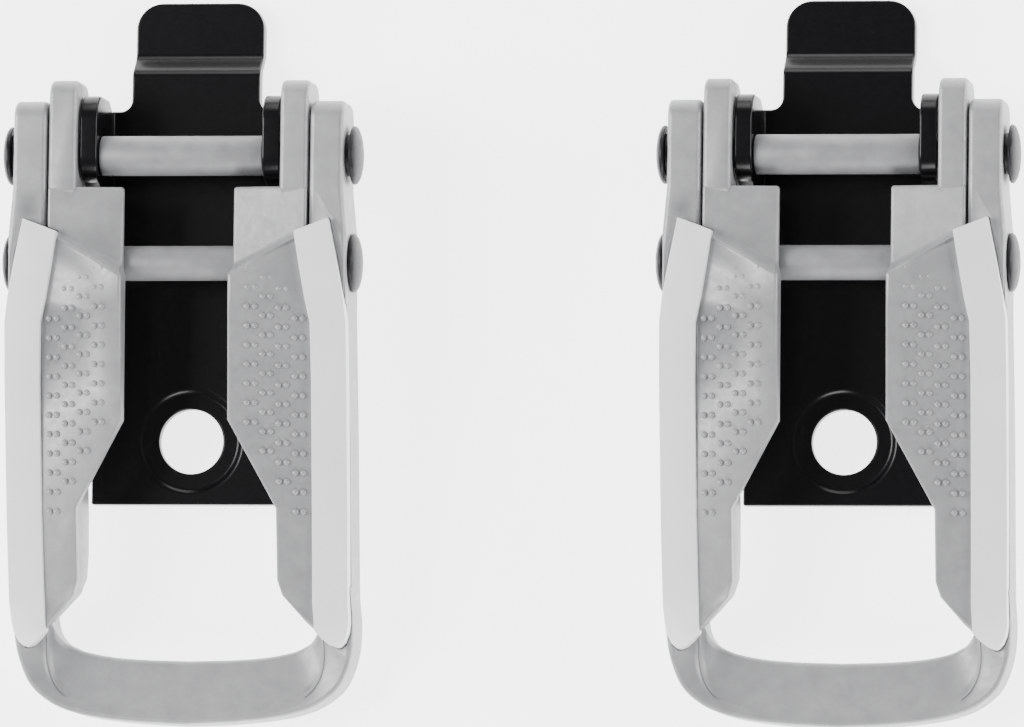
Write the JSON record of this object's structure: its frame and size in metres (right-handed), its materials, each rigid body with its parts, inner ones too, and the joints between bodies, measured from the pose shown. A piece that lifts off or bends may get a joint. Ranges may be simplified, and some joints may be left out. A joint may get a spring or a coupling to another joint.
{
  "type": "ski boot buckle pair",
  "caption": "Pair of closed lever buckles for a ski boot: bent black base plate with a screw hole, hinged alloy lever with finger loop, and rollers for the strap.",
  "frame": {"origin": "middle of the pair in plan, on the plane that the closed buckles lie on", "axes": "+X across the two buckles, +Y from the finger loops towards the tongues, +Z out of the boot"},
  "size_m": [0.1028, 0.0726, 0.0145],
  "materials": {
    "plate_black": "gloss black coated steel",
    "cast_alloy": "tumbled satin die casting",
    "rail_pale": "pale grey moulded satin",
    "roller_steel": "satin",
    "rivet_steel": "burnished dark",
    "washer_black": "black"
  },
  "bodies": {
    "root": {"first_base_plate": "plate_black", "first_hinge_rivet": "rivet_steel", "first_washer_right": "washer_black", "first_washer_left": "washer_black", "second_base_plate": "plate_black", "second_hinge_rivet": "rivet_steel", "second_washer_right": "washer_black", "second_washer_left": "washer_black"},
    "first_lever": {"first_yoke": "cast_alloy", "first_cheek_right": "cast_alloy", "first_cheek_left": "cast_alloy", "first_rail_right": "rail_pale", "first_rail_left": "rail_pale", "first_catch_rivet": "rivet_steel"},
    "first_hinge_roller": {"first_hinge_roller": "roller_steel"},
    "first_catch_roller": {"first_catch_roller": "roller_steel"},
    "second_lever": {"second_yoke": "cast_alloy", "second_cheek_right": "cast_alloy", "second_cheek_left": "cast_alloy", "second_rail_right": "rail_pale", "second_rail_left": "rail_pale", "second_catch_rivet": "rivet_steel"},
    "second_hinge_roller": {"second_hinge_roller": "roller_steel"},
    "second_catch_roller": {"second_catch_roller": "roller_steel"}
  },
  "joints": [
    {"name": "first_lever_hinge", "type": "hinge", "parent": "root", "child": "first_lever", "pos_m": [-0.03315, 0.02055, 0.01], "axis": [-1, 0, 0], "range_deg": [0, 100]},
    {"name": "first_hinge_roller_spin", "type": "hinge", "parent": "root", "child": "first_hinge_roller", "pos_m": [-0.03315, 0.02055, 0.01], "axis": [1, 0, 0], "continuous": true},
    {"name": "first_catch_roller_spin", "type": "hinge", "parent": "first_lever", "child": "first_catch_roller", "pos_m": [-0.03315, 0.00975, 0.00965], "axis": [1, 0, 0], "continuous": true},
    {"name": "second_lever_hinge", "type": "hinge", "parent": "root", "child": "second_lever", "pos_m": [0.03315, 0.02055, 0.01], "axis": [-1, 0, 0], "range_deg": [0, 100]},
    {"name": "second_hinge_roller_spin", "type": "hinge", "parent": "root", "child": "second_hinge_roller", "pos_m": [0.03315, 0.02055, 0.01], "axis": [1, 0, 0], "continuous": true},
    {"name": "second_catch_roller_spin", "type": "hinge", "parent": "second_lever", "child": "second_catch_roller", "pos_m": [0.03315, 0.00975, 0.00965], "axis": [1, 0, 0], "continuous": true}
  ]
}
